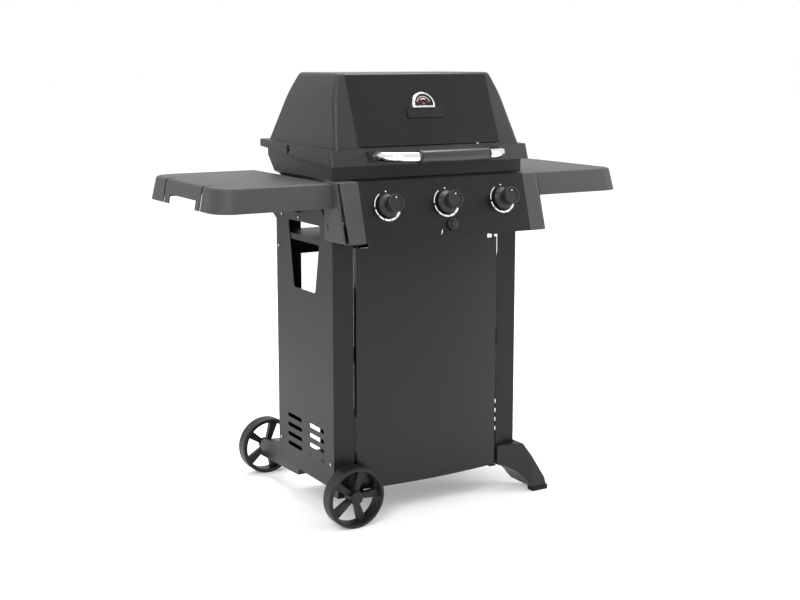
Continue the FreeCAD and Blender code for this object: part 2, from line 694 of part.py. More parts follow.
def thermometer_plate():
    """Plain plate below the dial, with no lettering."""
    plate = slab("XY", "0", "3", [("-50", "-12"), ("50", "-12"), ("60", "0"), ("50", "12"), ("-50", "12")])
    return rounded(plate, 4, vertical)


def below(level):
    """Everything under a line across the dial, used to make it half-round."""
    return block(("-60", "60"), ("-80", level), ("-5", "30"))


def thermometer_bezel():
    """Half-round frame with a sunk seat for the dial."""
    disc = turned([("0", "0"), ("33", "0"), ("33", "4"), ("30", "8"), ("0", "8")])
    seat = cut(rod("Z", ("0", "0", "2.5"), "26.5", "20"), below("-4.5"))
    return cut(cut(disc, below("-9")), seat)


node("thermometer_plate", on_lid(thermometer_plate(), "78", "gap"))
node("thermometer_bezel", on_lid(thermometer_bezel(), "98", "gap"))
node("thermometer_dial", on_lid(cut(rod("Z", ("0", "0", "2.5 + gap"), "26.2", "2"), below("-4.2")), "98", "gap"))


# ---------------------------------------------------------------- control panel
FACE_TOP = "fascia_front + fascia_lean"


def fascia():
    """Folded control panel: top return, sloped face, bottom return."""
    sheet_thick = "fascia_gauge"
    profile = [(f"{FACE_TOP} + 46", "fascia_top"), (FACE_TOP, "fascia_top"),
               ("fascia_front", "fascia_top - fascia_height"), (f"{FRONT} - gap - 6", "fascia_top - fascia_height"),
               (f"{FRONT} - gap - 6", f"fascia_top - fascia_height + {sheet_thick}"),
               (f"fascia_front + {sheet_thick} * 1.5", f"fascia_top - fascia_height + {sheet_thick}"),
               (f"{FACE_TOP} + {sheet_thick}", f"fascia_top - {sheet_thick}"),
               (f"{FACE_TOP} + 46", f"fascia_top - {sheet_thick}")]
    folded = slab("YZ", "-fascia_half", "fascia_half", profile)
    holes = [on_fascia(rod("Z", ("0", "0", "0"), "stem_radius + 2", "20"), f"{k} * knob_pitch", "knob_up", "-10")
             for k in (-1, 0, 1)]
    holes.append(on_fascia(rod("Z", ("0", "0", "0"), "button_radius + 1.5", "20"), "button_x", "button_up", "-10"))
    return cut(folded, *holes)


def fascia_cap():
    """Right-hand moulded end of the control panel, a shell that is open behind."""
    def block_of(inset):
        return slab("YZ", "fascia_half + gap + " + inset, f"cap_half - {inset}",
                    [(f"{FRONT} - gap" if inset == "0" else FRONT, f"fascia_top - fascia_height - 1 + {inset}"),
                     (f"fascia_front + {inset}", f"fascia_top - fascia_height - 1 + {inset}"),
                     (f"{FACE_TOP} + {inset}", f"fascia_top + 1 - {inset}"),
                     (f"{FRONT} - gap" if inset == "0" else FRONT, f"fascia_top + 1 - {inset}")])
    outer = block_of("0")
    front_outer = rounded(outer, 16, lambda middle, way: middle.x > size("cap_half") - 0.5 and abs(way.z) > 0.9
                          and middle.y < size("fascia_front") + size("fascia_lean") + 5)
    edged = rounded(front_outer, 2.5, lambda middle, way: middle.y < -size("cart_depth") / 2 - 12
                    and (abs(middle.z - size("fascia_top") - 1) < 0.5
                         or abs(middle.z - size("fascia_top") + size("fascia_height") + 1) < 0.5)
                    and middle.x > size("fascia_half") + 6)
    slot = slab("YZ", "cap_half - 6", "cap_half + 5", [("-176", "741"), ("-171", "741"), ("-171", "755"), ("-176", "755")])
    room = block(("fascia_half - 1", "box_half + 2"), ("box_front - 2", f"{FRONT} + 5"),
                 ("box_knee - 40", "fascia_top + 5"))
    return cut(edged, block_of("2.5"), slot, room)


node("fascia", fascia())
right_cap = node("fascia_cap_right", fascia_cap())
node("fascia_cap_left", mirrored(right_cap))

KNOBS = (("left", -1), ("middle", 0), ("right", 1))


def knob():
    """Hollow knob: wide skirt, waist, faceted head with a sunk cap."""
    return turned([("0", "6"), ("stem_radius + 0.05", "6"), ("stem_radius + 0.05", "0"), ("knob_skirt", "0"),
                   ("knob_skirt", "4"), ("knob_skirt - 4", "8"), ("knob_radius - 3", "14"), ("knob_radius - 2", "23"),
                   ("knob_radius", "25"), ("knob_radius", "knob_length - 2"), ("knob_radius - 2", "knob_length"),
                   ("knob_radius - 4.5", "knob_length"), ("knob_radius - 5", "knob_length - 3"), ("0", "knob_length - 3")])


for name, step in KNOBS:
    place = (f"{step} * knob_pitch", "knob_up")
    node(f"knob_{name}", on_fascia(knob(), *place, "knob_gap"))
    node(f"valve_stem_{name}", on_fascia(rod("Z", ("0", "0", "0"), "stem_radius", "24"), *place, "knob_gap - 18.3"))


def igniter_housing():
    """Collar in front of the panel and the battery barrel behind it."""
    return turned([("button_radius + 0.3", "-26"), ("button_radius + 1.3", "-26"), ("button_radius + 1.3", "gap"),
                   ("button_bezel", "gap"), ("button_bezel", "7"), ("button_bezel - 1.5", "8.5"),
                   ("button_radius + 0.3", "8.5")])


def igniter_button():
    return turned([("0", "-10"), ("button_radius", "-10"), ("button_radius", "11"), ("button_radius - 1.5", "12.5"),
                   ("0", "12.5")])


node("igniter_housing", on_fascia(igniter_housing(), "button_x", "button_up", "0"))
node("igniter_button", on_fascia(igniter_button(), "button_x", "button_up", "0"))


# ---------------------------------------------------------------- gas train
def valve(step):
    """Valve: a square body behind the panel with a round neck that guides the stem."""
    neck = turned([("stem_radius + pin_clearance", "-30"), ("stem_radius + 5", "-30"), ("stem_radius + 5", "-12"),
                   ("stem_radius + pin_clearance", "-12")])
    drum = turned([("0", "-52"), ("12", "-52"), ("12", "-29"), ("stem_radius + pin_clearance", "-29"),
                   ("stem_radius + pin_clearance", "-33"), ("0", "-33")])
    place = (f"{step} * knob_pitch", "knob_up", "0")
    return join(on_fascia(neck, *place), on_fascia(drum, *place))


node("gas_valves", several(*[valve(step) for name, step in KNOBS]))
MANIFOLD_Y = "(fascia_front + fascia_lean - knob_up * fascia_lean / fascia_height + 58)"


def manifold():
    """Gas pipe across the firebox front with a closed left end."""
    level = "fascia_top - knob_up - 16"
    pipe = rod("X", ("-knob_pitch - 30", MANIFOLD_Y, level), "8", "2 * knob_pitch + 60")
    return pipe


node("gas_manifold", manifold())


def gas_inlet():
    """Hose connection at the right end of the manifold."""
    level = "fascia_top - knob_up - 16"
    nut = rod("X", ("knob_pitch + 30 + gap", MANIFOLD_Y, level), "11", "14")
    barb = rod("X", ("knob_pitch + 44 + gap", MANIFOLD_Y, level), "5", "16")
    return join(nut, barb)


node("gas_inlet", gas_inlet())


def burner(step):
    """Tube burner: mixer end through the front wall, ports along both sides, closed tail."""
    x = f"{step} * knob_pitch"
    tube = rod("Y", (x, "box_front - 6", "burner_z"), "burner_radius", "290")
    foot = block((f"{x} - 8", f"{x} + 8"), ("box_front + 285 - 14", "box_front + 284"),
                 ("burner_z - burner_radius - 20", "burner_z"))
    return join(tube, foot)


for name, step in KNOBS:
    node(f"burner_{name}", burner(step))


def flame_tamer(step):
    """Tent of folded steel over one burner."""
    x = f"{step} * knob_pitch"
    return slab("XZ", "box_front + 26", "box_back - 52",
                [(f"{x} - 34", "burner_z + 14"), (f"{x} - 32", "burner_z + 14"), (f"{x}", "burner_z + 34"),
                 (f"{x} + 32", "burner_z + 14"), (f"{x} + 34", "burner_z + 14"), (f"{x}", "burner_z + 36")])


node("flame_tamers", several(*[flame_tamer(step) for name, step in KNOBS]))
node("igniter_electrodes", several(*[rod("Y", (f"{step} * knob_pitch + 18", "box_front - 2", "burner_z + 4"), "2", "62")
                                     for name, step in KNOBS]))


def cooking_grate():
    """Right-hand cast grate: a frame with bars that run front to back."""
    x = ("1", "box_half - box_wall - 2")
    y = ("box_front + box_wall + 2", "box_back - 20")
    z = ("grate_z", "grate_z + grate_height")
    sides = [block((x[0], f"{x[0]} + 9"), y, z), block((f"{x[1]} - 9", x[1]), y, z),
             block(x, (y[0], f"{y[0]} + 9"), z), block(x, (f"{y[1]} - 9", y[1]), z),
             block(x, ("8", "16"), ("grate_z", "grate_z + grate_height - 4"))]
    count = 14
    bars = [block((f"{x[0]} + 9 + {k} * bar_pitch - bar_width/2 + 8", f"{x[0]} + 9 + {k} * bar_pitch + bar_width/2 + 8"),
                  (f"{y[0]} + 4", f"{y[1]} - 4"), ("grate_z + 1", "grate_z + grate_height")) for k in range(count)]
    return join(*sides, *bars)


grate = node("cooking_grate_right", cooking_grate())
node("cooking_grate_left", mirrored(grate))


def warming_rack():
    """Wire rack on two end frames that stand on the firebox ledges."""
    half = "(box_half - box_wall - 34)"
    level = "985"
    wires = [rod("X", (f"-{half}", f"{62 + 12 * k}", level), "2", f"2 * {half}") for k in range(8)]
    legs = []
    for side in ("-1", "1"):
        x = f"{side} * {half}"
        for y in ("62", "146"):
            legs.append(rod("Z", (x, y, "grate_z + grate_height + gap"), "3", f"{level} - grate_z - grate_height + 2"))
        legs.append(rod("Y", (x, "58", level), "3", "92"))
    return join(*wires, *legs)


node("warming_rack", warming_rack())


# ---------------------------------------------------------------- grease tray
def grease_tray():
    """Tray that slides out at the back, with a raised handle at its rear."""
    x = ("-120", "120")
    y = ("-110", "cart_depth/2 + 6")
    outer = block(x, y, ("tray_z", "tray_z + tray_height"))
    inner = block(("-118.5", "118.5"), (f"{y[0]} + 1.5", f"{y[1]} - 1.5"), ("tray_z + 1.5", "tray_z + tray_height + 5"))
    pull = block(("-45", "45"), (f"{y[1]} - 1", f"{y[1]} + 22"), ("tray_z + tray_height - 1.5", "tray_z + tray_height"))
    return join(cut(outer, inner), pull)


node("grease_tray", grease_tray())


def tray_runner():
    """Angle under one edge of the tray, hung from the side panel."""
    x_edge = "(cart_width/2 - panel_gauge - gap)"
    foot = block(("110", x_edge), ("-120", "140"), ("tray_z - gap - 1.5", "tray_z - gap"))
    wall = block((f"{x_edge} - 1.5", x_edge), ("-120", "140"), ("tray_z - 15", "tray_z - gap"))
    return join(foot, wall)


runner = tray_runner()
node("tray_runners", several(runner, mirrored(runner)))


# ---------------------------------------------------------------- side shelves
def shelf_block(inset, flare):
    """Right-hand table top with a drafted skirt: loft from the skirt's foot to the table."""
    inner = "shelf_inner" if inset == "0" else "shelf_inner - shelf_wall"

    def ring(extra):
        return [(inner, f"shelf_front - {extra} + {inset}"),
                (f"shelf_outer - 42 + {extra} - {inset}", f"shelf_front - {extra} + {inset}"),
                (f"shelf_outer - 12 + {extra} - {inset}", f"shelf_front + 22 - {extra} + {inset}"),
                (f"shelf_outer + {extra} - {inset}", f"shelf_front + 66 - {extra} + {inset}"),
                (f"shelf_outer + 4 + {extra} - {inset}", "(shelf_front + shelf_back)/2"),
                (f"shelf_outer + {extra} - {inset}", f"shelf_back - 50 + {extra} - {inset}"),
                (f"shelf_outer - 10 + {extra} - {inset}", f"shelf_back - 16 + {extra} - {inset}"),
                (f"shelf_outer - 36 + {extra} - {inset}", f"shelf_back + {extra} - {inset}"),
                (inner, f"shelf_back + {extra} - {inset}")]
    top = "shelf_top" if inset == "0" else f"shelf_top - {inset}"
    foot = "shelf_top - shelf_skirt" if inset == "0" else "shelf_top - shelf_skirt - 2"
    return loft([(foot, ring(flare)), (top, ring("0"))])


def side_shelf():
    """Hollow resin table with tool-hook slots in its outer edge and a shallow grip between them."""
    shell = cut(shelf_block("0", "shelf_flare"), shelf_block("shelf_wall", "shelf_flare"))
    grip = block(("shelf_outer - 20", "shelf_outer + 30"), ("-70", "100"), ("shelf_top - shelf_skirt - 5", "shelf_top - 38"))
    slots = [block(("shelf_outer - 5", "shelf_outer + 30"), (f"{y} - 5", f"{y} + 5"),
                   ("shelf_top - shelf_skirt - 5", "shelf_top + 5")) for y in (-98, 133)]
    return cut(shell, grip, *slots)


right_shelf = node("side_shelf_right", side_shelf())
node("side_shelf_left", mirrored(right_shelf))


def shelf_bracket(y):
    """Gusset bolted to the side panel under a shelf."""
    arm = slab("XZ", f"{y} - 1.5", f"{y} + 1.5",
               [("cart_width/2 + gap", "760"), ("cart_width/2 + gap", "shelf_top - shelf_wall - gap"),
                ("shelf_inner + 150", "shelf_top - shelf_wall - gap"), ("shelf_inner + 150", "shelf_top - shelf_wall - 20")])
    foot = block(("cart_width/2 + gap", "cart_width/2 + gap + 3"), (f"{y} - 16", f"{y} + 1.5"), ("766", "840"))
    return join(arm, foot)


def corner_gusset():
    """Plate that carries the rear corner of the shelf behind the cart."""
    return slab("YZ", "cart_width/2 - 5", "cart_width/2 - 2",
                [("cart_depth/2 + gap", "732"), ("240", "778"), ("240", "796"), ("cart_depth/2 + gap", "796")])


brackets = [shelf_bracket("24"), shelf_bracket("120"), corner_gusset()]
node("shelf_brackets", several(*brackets, *[mirrored(item) for item in brackets]))


# ---------------------------------------------------------------- running gear
def wheel():
    """Rim with tread, five tapered spokes and a hub, built along its own axis."""
    ring = turned([("wheel_radius - 11", "0"), ("wheel_radius - 2", "0"), ("wheel_radius", "3"),
                   ("wheel_radius", "wheel_width - 4"), ("wheel_radius - 3", "wheel_width"),
                   ("wheel_radius - 9", "wheel_width"), ("wheel_radius - 11", "wheel_width - 6")])
    hub = turned([("axle_radius + pin_clearance", "0"), ("hub_radius", "0"), ("hub_radius", "wheel_width - 6"),
                  ("axle_radius + pin_clearance", "wheel_width - 6")])
    body = slab("XY", "10", "24", [("hub_radius - 3", "-6"), ("wheel_radius - 8", "-11"),
                                   ("wheel_radius - 8", "11"), ("hub_radius - 3", "6")])
    pad = body.Tip
    fan = body.newObject("PartDesign::PolarPattern", f"fan{next(serial)}")
    fan.Originals = [pad]
    fan.Axis = (pad.Profile[0], ["N_Axis"])
    fan.Angle = 360
    fan.Occurrences = 5
    body.Tip = fan
    return join(ring, hub, body)


def on_axle(piece, y, outward):
    """Turns a piece so that its own Z points to the front (-1) or the back (1)."""
    piece.Placement = Placement(Vector(), Rotation(Vector(1, 0, 0), -90 * outward))
    bind(piece, "Placement.Base.x", "axle_x")
    bind(piece, "Placement.Base.y", y)
    bind(piece, "Placement.Base.z", "wheel_radius")
    return piece


def hub_cap():
    return turned([("0", "wheel_width - 6 + gap"), ("hub_radius - 0.5", "wheel_width - 6 + gap"),
                   ("hub_radius - 0.5", "wheel_width - 2"), ("hub_radius - 3", "wheel_width"), ("0", "wheel_width")])


for name, y, outward in (("front", "front_wheel_y + wheel_width/2", -1), ("rear", "rear_wheel_y - wheel_width/2", 1)):
    node(f"wheel_{name}", on_axle(wheel(), y, outward))
    node(f"hub_cap_{name}", on_axle(hub_cap(), y, outward))

node("axle", rod("Y", ("axle_x", "front_wheel_y - wheel_width/2 + 7", "wheel_radius"), "axle_radius",
                 "rear_wheel_y - front_wheel_y + wheel_width - 14"))


def axle_carrier(points):
    """Bracket below the cart with a bore for the axle."""
    arm = slab("YZ", "axle_x - 26", "axle_x + 22", points)
    bore = rod("Y", ("axle_x", "front_wheel_y - 60", "wheel_radius"), "axle_radius + pin_clearance", "640")
    return cut(arm, bore)


UNDER = "panel_bottom - gap"
node("axle_carrier_front", axle_carrier([(f"{FRONT} + 3", "64"), (f"{FRONT} + 60", "64"), (f"{FRONT} + 70", UNDER),
                                         (f"{FRONT} + 3", UNDER)]))
node("axle_carrier_rear", axle_carrier([("70", "64"), ("rear_wheel_y - wheel_width/2 - 3", "56"),
                                        ("rear_wheel_y - wheel_width/2 - 3", "98"), ("cart_depth/2 + 30", "124"),
                                        ("cart_depth/2 + gap", "134"), ("cart_depth/2 + gap", UNDER), ("60", UNDER)]))


FOOT_INNER = "cart_width/2 - strip_width + 1"
FOOT_TOP = "panel_bottom + 44"
SOLE = "pad_height + gap"
CART_CORNER = (("0", "cart_width/2 + gap"), (f"{FRONT} - gap", f"{BACK} + gap"), (UNDER, "300"))


def front_foot():
    """Arched leg: its front view crossed with its plan, fitted round the cart's corner."""
    arch = slab("XZ", "-300", "0",
                [(FOOT_INNER, "panel_bottom - 12"), ("236", "72"), ("262", "58"), ("285", "37"),
                 ("foot_toe - toe_width - 2", SOLE), ("foot_toe - 5", SOLE), ("foot_toe - 12", "34"),
                 ("cart_width/2 + 8", FOOT_TOP), (FOOT_INNER, f"{FOOT_TOP} - 4")])
    plan = slab("XY", "0", "200",
                [(FOOT_INNER, f"{FRONT} - 9"), ("foot_toe - toe_width - 2", "front_toe"), ("foot_toe - 2", "front_toe"),
                 ("foot_toe - 2", "front_toe + toe_depth + 22"), ("cart_width/2 + 20", f"{FRONT} + 60"),
                 (FOOT_INNER, f"{FRONT} + 60")])
    return cut(common(arch, plan), block(*CART_CORNER))


def rear_foot():
    """Longer leg at the back: side view crossed with plan and front view."""
    side = slab("YZ", "0", "400",
                [(f"{BACK} - 60", "78"), (f"{BACK} + 10", "72"), (f"{BACK} + 90", "50"),
                 ("rear_toe - toe_depth - 10", SOLE), ("rear_toe", SOLE), ("rear_toe - 4", "32"),
                 (f"{BACK} + 130", "56"), (f"{BACK} + 60", "108"), (f"{BACK} + 8", FOOT_TOP), (f"{BACK} - 60", FOOT_TOP)])
    plan = slab("XY", "0", "200",
                [(FOOT_INNER, f"{BACK} + 9"), ("foot_toe - toe_width - 2", "rear_toe"), ("foot_toe - 2", "rear_toe"),
                 ("foot_toe - 2", "rear_toe - toe_depth - 8"), ("cart_width/2 + 20", f"{BACK} - 60"),
                 (FOOT_INNER, f"{BACK} - 60")])
    slope = slab("XZ", "0", "400", [("200", "0"), ("foot_toe", "0"), ("foot_toe - 12", "34"),
                                    ("cart_width/2 + 8", "200"), ("200", "200")])
    return cut(common(side, plan, slope), block(*CART_CORNER))


node("foot_front", front_foot())
node("foot_rear", rear_foot())


def foot_pad(y):
    return rounded(block(("foot_toe - toe_width", "foot_toe"), (y, f"{y} + toe_depth"), ("0", "pad_height")), 5, vertical)


node("foot_pads", several(foot_pad("front_toe - 1"), foot_pad("rear_toe - toe_depth + 1")))


# ---------------------------------------------------------------- fasteners
def button_head(x, y, z):
    """A screw head on a face that looks towards -X."""
    return rod("X", (x, y, z), "screw_radius", "2")


def cabinet_screws():
    """Heads along both side panels, at the shelf brackets and at the feet."""
    heads = []
    for y, z in (("-140", "152"), ("140", "152"), ("140", "665"), ("-140", "725"), ("24", "750"), ("120", "750")):
        heads.append(button_head("-cart_width/2 - 2 - gap", y, z))
    return several(*heads, *[mirrored(head) for head in heads])


node("cabinet_screws", cabinet_screws())


# ---------------------------------------------------------------- checks and files
doc.recompute()
for item in doc.Objects:
    if "Invalid" in item.State or "Error" in item.State:
        raise RuntimeError(f"{item.Name} ({item.Label}) is {item.State}")
os.makedirs("parts", exist_ok=True)
finished = []
for item in nodes:
    shape = item.Shape.copy()
    if shape.isNull() or not shape.isValid() or not shape.Solids:
        raise RuntimeError(f"{item.Label} has no valid solid")
    shape.translate(Vector(0, -size("frame_shift"), 0))
    finished.append((item.Label, shape))
for label, shape in finished:
    shape.exportStep(f"parts/{label}.step")
    print(f"{label:24} solids {len(shape.Solids)} volume {shape.Volume:12.1f}")
print(len(nodes), "nodes")
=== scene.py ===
# %% [markdown]
# # A three-burner gas barbecue on a two-wheeled cart
# The metal and resin parts are already built to size as CAD nodes, with their joints. This lesson
# gives them a finish, softens their edges, and adds the small fittings and printed marks. Tables,
# collars, the dial and the foot screws take their place from the nodes. The marks on the control
# panel don't: they use the panel's own slope and knob line, which are given as sizes below.

# %% Load the frame
import json
import math

import bmesh
import bpy
from mathutils import Matrix, Vector
from mathutils.bvhtree import BVHTree


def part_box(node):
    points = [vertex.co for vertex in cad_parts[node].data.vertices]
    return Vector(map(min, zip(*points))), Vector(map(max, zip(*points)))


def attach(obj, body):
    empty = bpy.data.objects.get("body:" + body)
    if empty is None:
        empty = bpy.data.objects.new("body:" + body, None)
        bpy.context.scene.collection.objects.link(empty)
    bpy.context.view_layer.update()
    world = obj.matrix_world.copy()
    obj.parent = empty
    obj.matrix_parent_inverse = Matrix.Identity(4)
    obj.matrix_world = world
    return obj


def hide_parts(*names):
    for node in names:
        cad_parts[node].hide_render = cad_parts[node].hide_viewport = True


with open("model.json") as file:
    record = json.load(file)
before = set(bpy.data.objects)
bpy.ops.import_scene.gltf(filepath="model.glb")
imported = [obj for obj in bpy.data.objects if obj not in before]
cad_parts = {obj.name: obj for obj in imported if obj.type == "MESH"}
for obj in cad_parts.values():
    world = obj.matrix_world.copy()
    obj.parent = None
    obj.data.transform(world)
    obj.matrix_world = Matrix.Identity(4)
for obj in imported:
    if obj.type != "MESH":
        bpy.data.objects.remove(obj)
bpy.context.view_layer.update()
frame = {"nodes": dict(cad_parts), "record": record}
SLOT_OF = {part["node"]: part["material_slot"] for part in frame["record"]["subparts"]}
BODIES = frame["record"]["behaviour"]["bodies"]
BODY_OF = {node: body for body, nodes in BODIES.items() for node in nodes}

# %% [markdown]
# ## Shader arithmetic
# A finish is a small sum: a base value, plus a little of a noise pattern. Wiring such sums by hand
# hides them, so one class wraps a socket and lets + - * build the Math nodes. Any other node comes
# from one method, which sets the node's own choices first and its sockets after.


# %% A socket that can be used in a sum
class Wire:
    """A shader output that works in Python sums."""

    def __init__(self, tree, socket=None):
        self.tree = tree
        self.socket = socket

    def node(self, kind, settings=None, inputs=None, output=0):
        made = self.tree.nodes.new(kind)
        for name, value in (settings or {}).items():
            setattr(made, name, value)
        for name, value in (inputs or {}).items():
            if isinstance(value, Wire):
                self.tree.links.new(value.socket, made.inputs[name])
            else:
                made.inputs[name].default_value = value
        return Wire(self.tree, made.outputs[output])

    def math(self, operation, first, second):
        return self.node("ShaderNodeMath", {"operation": operation}, {0: first, 1: second})

    def __add__(self, other):
        return self.math("ADD", self, other)

    def __radd__(self, other):
        return self.math("ADD", other, self)

    def __sub__(self, other):
        return self.math("SUBTRACT", self, other)

    def __rsub__(self, other):
        return self.math("SUBTRACT", other, self)

    def __mul__(self, other):
        return self.math("MULTIPLY", self, other)

    def __rmul__(self, other):
        return self.math("MULTIPLY", other, self)


print("sums of sockets are ready")

# %% [markdown]
# ## One recipe for every finish
# Paint, cast metal, moulded resin and plating differ in colour, gloss and grain, and not in kind.
# A cloudy noise shifts the colour and the gloss a little, as handling and casting do, and a fine
# noise gives the grain: coarse for powder coat, finer for moulded resin, almost none for chrome.


# %% The finish recipe
CLOUD_SIZE = 9.0
GLOSS_SWING = 0.12


def shade(value):
    """A grey or a colour as the four numbers that a colour socket takes."""
    red, green, blue = value if isinstance(value, tuple) else (value, value, value)
    return (red, green, blue, 1.0)


def finish(name, colour, roughness, metallic=0.0, grain=900, depth=0.0, cloud=0.12, coat=0.0,
           shine=0.5):
    """A material with clouded colour and gloss, and grain of the given pitch and depth."""
    material = bpy.data.materials.new(name)
    material.use_nodes = True
    tree = material.node_tree
    shader = tree.nodes["Principled BSDF"]
    wires = Wire(tree)
    place = wires.node("ShaderNodeTexCoord", output="Object")
    clouds = wires.node("ShaderNodeTexNoise", {"noise_dimensions": "3D"},
                        {"Vector": place, "Scale": CLOUD_SIZE, "Detail": 3.0})
    darker = tuple(part * (1 - cloud) for part in shade(colour)[:3])
    lighter = tuple(min(1.0, part * (1 + cloud)) for part in shade(colour)[:3])
    tone = wires.node("ShaderNodeMix", {"data_type": "RGBA"},
                      {0: clouds, 6: shade(darker), 7: shade(lighter)}, output=2)
    gloss = roughness - GLOSS_SWING / 2 + clouds * GLOSS_SWING
    tree.links.new(tone.socket, shader.inputs["Base Color"])
    tree.links.new(gloss.socket, shader.inputs["Roughness"])
    shader.inputs["Metallic"].default_value = metallic
    shader.inputs["Specular IOR Level"].default_value = shine
    shader.inputs["Coat Weight"].default_value = coat
    shader.inputs["Coat Roughness"].default_value = 0.12
    if depth:
        fine = wires.node("ShaderNodeTexNoise", {"noise_dimensions": "3D"},
                          {"Vector": place, "Scale": float(grain), "Detail": 2.0})
        bump = wires.node("ShaderNodeBump",
                          inputs={"Height": fine, "Strength": 0.5, "Distance": depth})
        tree.links.new(bump.socket, shader.inputs["Normal"])
    return material


FINISHES = {name: finish(name, *look, **more) for name, look, more in [
    ("powder_black", (0.0085, 0.40), {"grain": 1100, "depth": 0.0002, "shine": 0.22}),
    ("enamel_black", (0.0060, 0.27), {"grain": 700, "depth": 0.0001, "shine": 0.25, "coat": 0.08}),
    ("cast_grey", ((0.0200, 0.0202, 0.0212), 0.42), {"grain": 1300, "depth": 0.0003, "shine": 0.3}),
    ("resin_grey", ((0.040, 0.041, 0.044), 0.50), {"grain": 1500, "depth": 0.0003, "shine": 0.3}),
    ("resin_dark", ((0.0125, 0.013, 0.014), 0.40), {"grain": 1500, "depth": 0.0002, "shine": 0.3}),
    ("chrome", (0.78, 0.13, 1.0), {"cloud": 0.03}),
    ("grip_grey", ((0.045, 0.046, 0.049), 0.30, 0.55), {"grain": 1800, "depth": 0.0001}),
    ("dial_face", (0.0060, 0.35), {"cloud": 0.05, "shine": 0.3}),
    ("plated_steel", (0.55, 0.32, 1.0), {"cloud": 0.08}),
    ("burner_steel", ((0.42, 0.40, 0.38), 0.42, 1.0), {"grain": 400, "depth": 0.0001}),
    ("iron", ((0.014, 0.0135, 0.013), 0.55), {"grain": 500, "depth": 0.0004, "shine": 0.3}),
    ("brass", ((0.62, 0.42, 0.15), 0.34, 1.0), {}),
    ("foot_rubber", (0.0080, 0.70), {"grain": 1000, "depth": 0.0003, "shine": 0.2}),
    ("wheel_plastic", ((0.0105, 0.0105, 0.0115), 0.45), {"grain": 1300, "depth": 0.0003, "shine": 0.28}),
]}
PRINT_WHITE = finish("print_white", 0.80, 0.55, cloud=0.03)
NEEDLE_RED = finish("needle_red", (0.62, 0.03, 0.02), 0.40, cloud=0.03)
# Painted shade: a near-black for the shade inside the screw recesses on the feet.
RECESS_SHADE = finish("painted_recess_shade", 0.006, 0.75, cloud=0.05)
print(len(FINISHES) + 3, "finishes")

# %% [markdown]
# ## Finish on the CAD parts
# Each node belongs to one material slot of the record. Every node takes the finish of its slot, so
# the burners and valves inside are finished too and look right when the lid is up.

# %% Finish every node
for node, thing in frame["nodes"].items():
    if not thing.data.materials:
        thing.data.materials.append(None)
    for index in range(len(thing.data.materials)):
        thing.data.materials[index] = FINISHES[SLOT_OF[node]]
print("finished", len(frame["nodes"]), "nodes")

# %% [markdown]
# ## Softened edges
# A pressed sheet, a casting and a moulding all have small radii, and those catch the long thin
# highlights that make a dark product readable. A copy of the node is merged, because the node is
# loose triangles, its flat areas are dissolved into clean faces, and a Bevel modifier rounds what
# is left. A sheet gets a small radius and a moulding a larger one.

# %% The helper and the parts that take it
SHARP = math.radians(32)
FLAT = math.radians(1)
SAME_POINT = 0.00002


def show(bm, name, material, body):
    """Makes an object of a bmesh, with its finish, and puts it on a body."""
    mesh = bpy.data.meshes.new(name)
    bm.to_mesh(mesh)
    bm.free()
    piece = bpy.data.objects.new(name, mesh)
    bpy.context.scene.collection.objects.link(piece)
    mesh.materials.clear()
    mesh.materials.append(material)
    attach(piece, body)
    return piece


def smooth(piece, width=0.0):
    """Smooth shading with crisp creases, and rounded edges where a width is given."""
    for face in piece.data.polygons:
        face.use_smooth = True
    piece.data.set_sharp_from_angle(angle=SHARP)
    if width:
        rounding = piece.modifiers.new("rounding", "BEVEL")
        rounding.width = width
        rounding.segments = 2
        rounding.limit_method = "ANGLE"
        rounding.angle_limit = SHARP
        rounding.use_clamp_overlap = True
        rounding.harden_normals = True
    return piece


def softened(node, width):
    """A clean copy of a node with rounded edges, shown instead of it."""
    bm = bmesh.new()
    bm.from_mesh(frame["nodes"][node].data)
    bmesh.ops.remove_doubles(bm, verts=bm.verts, dist=SAME_POINT)
    bmesh.ops.dissolve_limit(bm, angle_limit=FLAT, verts=bm.verts, edges=bm.edges)
    piece = show(bm, node + "_soft", FINISHES[SLOT_OF[node]], BODY_OF[node])
    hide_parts(node)
    return smooth(piece, width)


SHEET, CAST, MOULD = 0.0005, 0.0012, 0.0018
SOFT = {
    SHEET: ["side_panel_left", "side_panel_right", "bottom_shelf", "door_panel", "front_rail",
            "rear_rail", "fascia", "grease_tray", "lid_insert"],
    CAST: ["lid_frame", "firebox", "lid_hinge_brackets", "handle_brackets", "thermometer_bezel",
           "igniter_housing", "igniter_button", "thermometer_dial", "handle_ends",
           "axle_carrier_front", "axle_carrier_rear"],
    MOULD: ["fascia_cap_right", "fascia_cap_left", "knob_left", "knob_middle", "knob_right",
            "wheel_front", "wheel_rear", "hub_cap_front", "hub_cap_rear", "foot_front", "foot_rear",
            "handle_grip", "foot_pads"],
}
for width, nodes in SOFT.items():
    for node in nodes:
        softened(node, width)
print("softened", sum(len(nodes) for nodes in SOFT.values()), "nodes")

# %% [markdown]
# ## Name plate
# The plate under the thermometer is a black enamelled strip. It could be a separate thin box, but
# the CAD part already has its size, so its softened copy is kept and takes the dial's black. It
# has no lettering and no bright rim here.

# %% The plate
plate = softened("thermometer_plate", SHEET)
plate.data.materials[0] = FINISHES["dial_face"]
print("plate", plate.name)

# %% [markdown]
# ## Side tables
# Each table is a thin resin moulding: a flat top with wide rounded corners, and a skirt that flares
# a little. A box gives it the right size at once. Two bevels round the outer corners and then the
# upper edge, the floor is removed, and a Solidify modifier gives the wall. The slots that hold
# tools and the recess that makes a grip are then cut out of the skirt.

# %% Two tables
WALL = 0.0032
TABLE_CORNER = 0.055
TABLE_EDGE = 0.006
FLARE = 0.010
HOOK_SLOTS = (-0.124, 0.107)
SLOT_HALF = 0.005
SLOT_DEPTH = 0.022
GRIP_SPAN = (-0.096, 0.074)
GRIP_BELOW_TOP = 0.036
OUTSIDE = 0.03
CLEAR = 0.01


